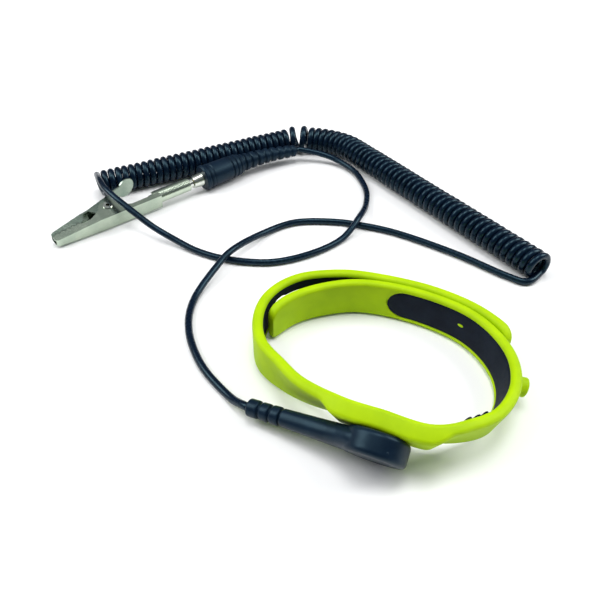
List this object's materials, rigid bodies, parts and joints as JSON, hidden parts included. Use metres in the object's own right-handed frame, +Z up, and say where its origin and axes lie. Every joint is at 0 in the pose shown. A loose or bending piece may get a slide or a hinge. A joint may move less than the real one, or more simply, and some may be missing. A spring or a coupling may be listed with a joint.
{
  "type": "antistatic wrist strap",
  "caption": "Grounding wrist strap: buttoned elastomer band with a conductive lining, snap connector, coiled cord, banana plug and alligator clip.",
  "frame": {"origin": "centre of the wristband's loop, on the table the object lies on", "axes": "+Z up from the table; +X to the right and +Y away from the side the snap connector faces; the clip lies to the left and the coiled cord behind"},
  "size_m": [0.1689, 0.1732, 0.0172],
  "materials": {
    "strap_rubber": "satin",
    "conductive_rubber": "matte",
    "black_plastic": "satin",
    "cord_rubber": "satin",
    "nickel": "polished",
    "clip_steel": "brushed",
    "spring_brass": "satin",
    "copper": "satin",
    "ceramic": "matte"
  },
  "bodies": {
    "cord_assembly": {"cord_leads": "cord_rubber", "cord_coil": "cord_rubber", "cord_conductor": "copper", "snap_boot": "black_plastic", "socket_cup": "nickel", "socket_tab": "spring_brass", "resistor_body": "ceramic", "resistor_caps": "nickel", "resistor_leads": "nickel", "boot_crimp": "copper", "plug_handle": "black_plastic", "bend_relief": "cord_rubber", "plug_pin": "nickel", "plug_crimp": "copper"},
    "socket_ring": {"socket_spring": "spring_brass"},
    "wristband": {"band": "strap_rubber", "contact_lining": "conductive_rubber", "snap_stud": "nickel", "stud_backplate": "nickel"},
    "plug_contact": {"plug_spring": "spring_brass"},
    "clip": {"main_jaw": "clip_steel", "clip_rivet": "clip_steel", "clip_spring": "clip_steel"},
    "lever": {"lever_jaw": "clip_steel"}
  },
  "joints": [
    {"name": "snap_swivel", "type": "hinge", "parent": "cord_assembly", "child": "socket_ring", "pos_m": [-0.004, -0.0284, 0.0097], "axis": [-0.328, -0.7919, -0.515], "range_deg": [-12, 20]},
    {"name": "snap_pull", "type": "slide", "parent": "socket_ring", "child": "wristband", "axis": [0.328, 0.7919, 0.515], "range_m": [0, 0.012]},
    {"name": "plug_spin", "type": "hinge", "parent": "cord_assembly", "child": "plug_contact", "pos_m": [-0.0612, 0.0976, 0.005], "axis": [0.7865, 0.6167, 0.0349], "range_deg": [-20, 3]},
    {"name": "clip_pull", "type": "slide", "parent": "plug_contact", "child": "clip", "axis": [-0.7865, -0.6167, -0.0349], "range_m": [0, 0.02]},
    {"name": "jaw_open", "type": "hinge", "parent": "clip", "child": "lever", "pos_m": [-0.093, 0.07577, 0.00418], "axis": [-0.1014, 0.1847, -0.9776], "range_deg": [0, 24], "deforming": ["clip_spring"]}
  ]
}
